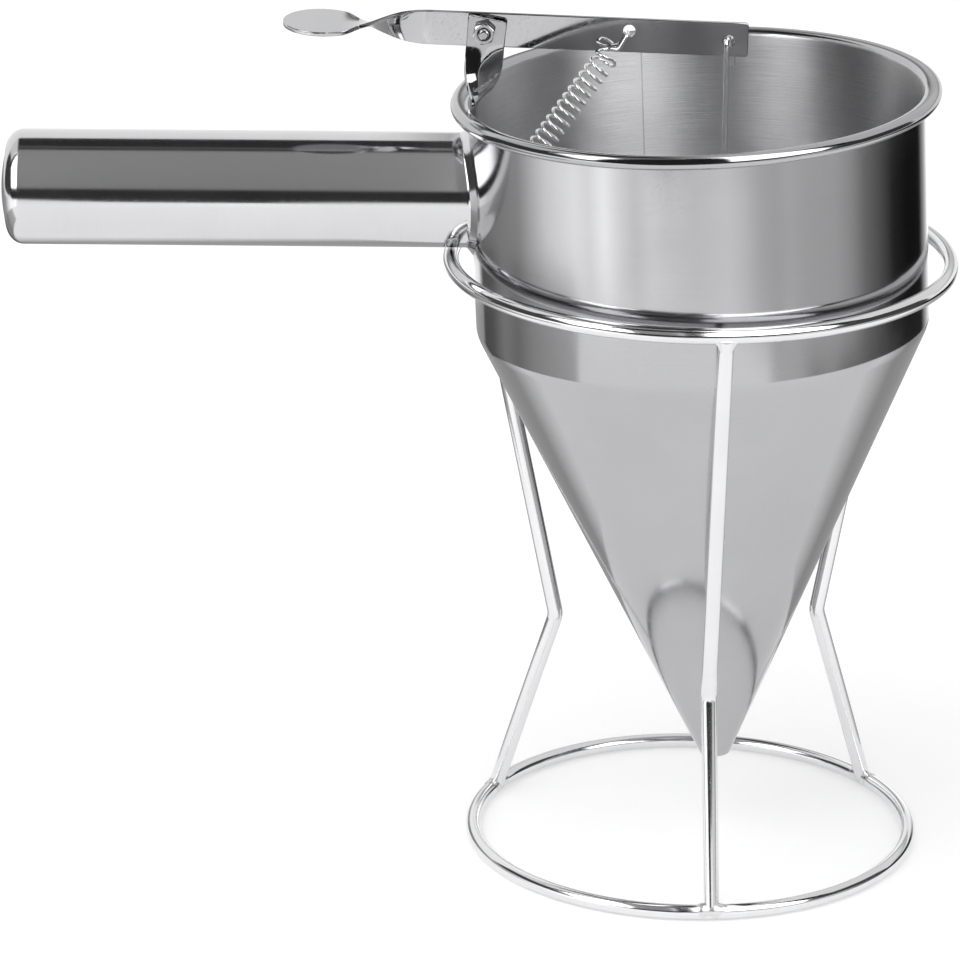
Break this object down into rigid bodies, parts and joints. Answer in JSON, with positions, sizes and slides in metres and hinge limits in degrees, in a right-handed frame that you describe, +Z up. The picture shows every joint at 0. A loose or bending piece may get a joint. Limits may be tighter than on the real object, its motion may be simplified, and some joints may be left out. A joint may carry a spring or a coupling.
{
  "type": "pancake batter dispenser",
  "caption": "Funnel-shaped steel batter dispenser resting in a wire stand, with a tube handle and a sprung thumb lever that lifts a rod and plug out of its nozzle.",
  "frame": {"origin": "under the middle of the whole object, on the surface that it stands on", "axes": "+X from the handle's end towards the side away from the handle, +Y across the handle, +Z up"},
  "size_m": [0.2655, 0.1428, 0.2422],
  "materials": {
    "wire": "bright polished stainless wire",
    "sheet": "polished stainless sheet, brushed inside",
    "tube": "polished stainless tube",
    "strap": "polished stainless strap",
    "screw": "plain stainless fastener",
    "plug": "turned stainless",
    "spring": "bright spring wire"
  },
  "bodies": {
    "stand": {"base_ring": "wire", "top_ring": "wire", "leg_1": "wire", "leg_2": "wire", "leg_3": "wire"},
    "cup": {"cup_band": "sheet", "cup_cone": "sheet", "handle_tube": "tube", "handle_end_cap": "tube", "lever_bracket": "strap", "pivot_bolt": "screw", "pivot_nut": "screw", "pivot_washer": "screw", "return_spring": "spring"},
    "lever": {"lever": "strap"},
    "valve": {"valve_rod": "wire", "valve_plug": "plug"}
  },
  "joints": [
    {"name": "cup_lift", "type": "slide", "parent": "stand", "child": "cup", "axis": [0, 0, 1], "range_m": [0, 0.18]},
    {"name": "lever_pivot", "type": "hinge", "parent": "cup", "child": "lever", "pos_m": [0.00101, 0, 0.23692], "axis": [0, -1, 0], "range_deg": [0, 20], "stiffness_Nm_per_rad": 0.25, "springref_deg": -14.32, "deforming": ["return_spring"]},
    {"name": "rod_hook", "type": "hinge", "parent": "lever", "child": "valve", "pos_m": [0.06789, 0, 0.23538], "axis": [0, -1, 0], "range_deg": [-19.5, 0]}
  ],
  "couplings": [
    {"joint": "rod_hook", "follows": "lever_pivot", "ratio": -0.966}
  ]
}
